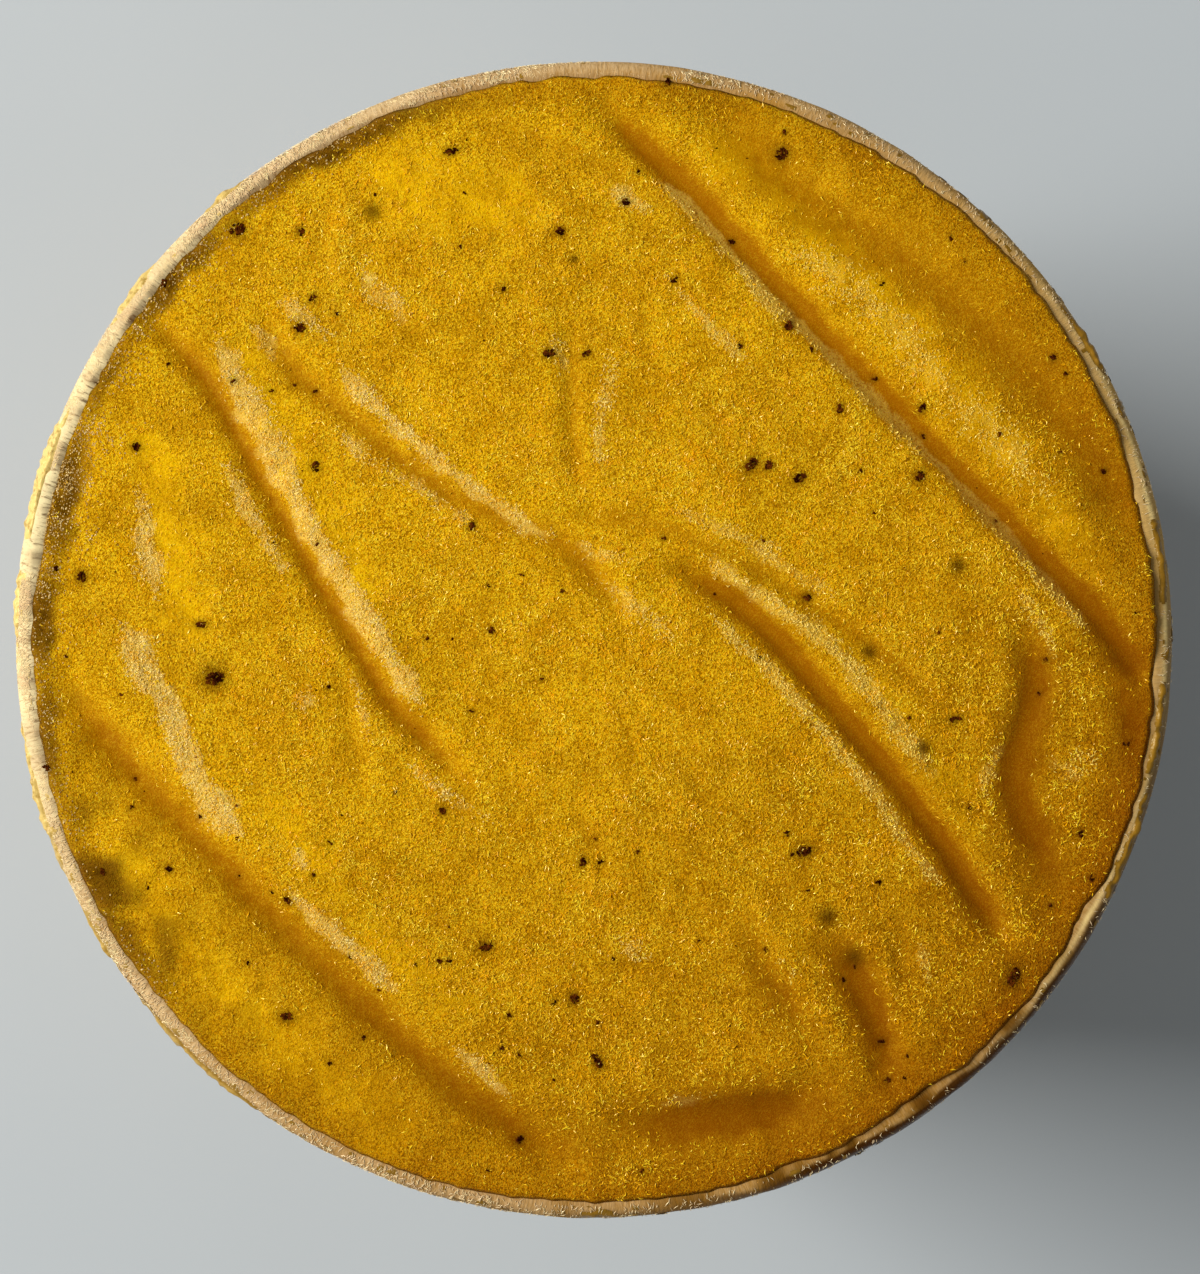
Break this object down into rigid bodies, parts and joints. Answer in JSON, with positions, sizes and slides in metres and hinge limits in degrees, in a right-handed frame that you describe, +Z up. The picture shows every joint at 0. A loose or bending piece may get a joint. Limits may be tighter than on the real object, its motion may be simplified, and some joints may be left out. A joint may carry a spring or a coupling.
{
  "type": "ice cream pint",
  "caption": "Round tapered paperboard tub with a rolled rim, open at the top and filled to the brim with golden sorbet that has swept grooves and dark specks.",
  "frame": {"origin": "centre of the circle that the foot ring stands on", "axes": "+Z up along the tub's axis, out of its mouth. Seen from above with +Y up the page, the sorbet's long grooves run from the upper left to the lower right. The glued side seam faces -X, 12 degrees towards +Y."},
  "size_m": [0.098, 0.098, 0.0886],
  "materials": {
    "cup_wall": "uncoated kraft board, matte, with a faint fibre grain",
    "cup_base": "uncoated kraft board, matte",
    "sorbet": "icy golden sorbet, moist and granular, with pale frost on its crests, wet amber grooves and dark specks"
  },
  "bodies": {
    "root": {"cup_wall": "cup_wall", "cup_base": "cup_base", "sorbet": "sorbet"}
  },
  "joints": []
}
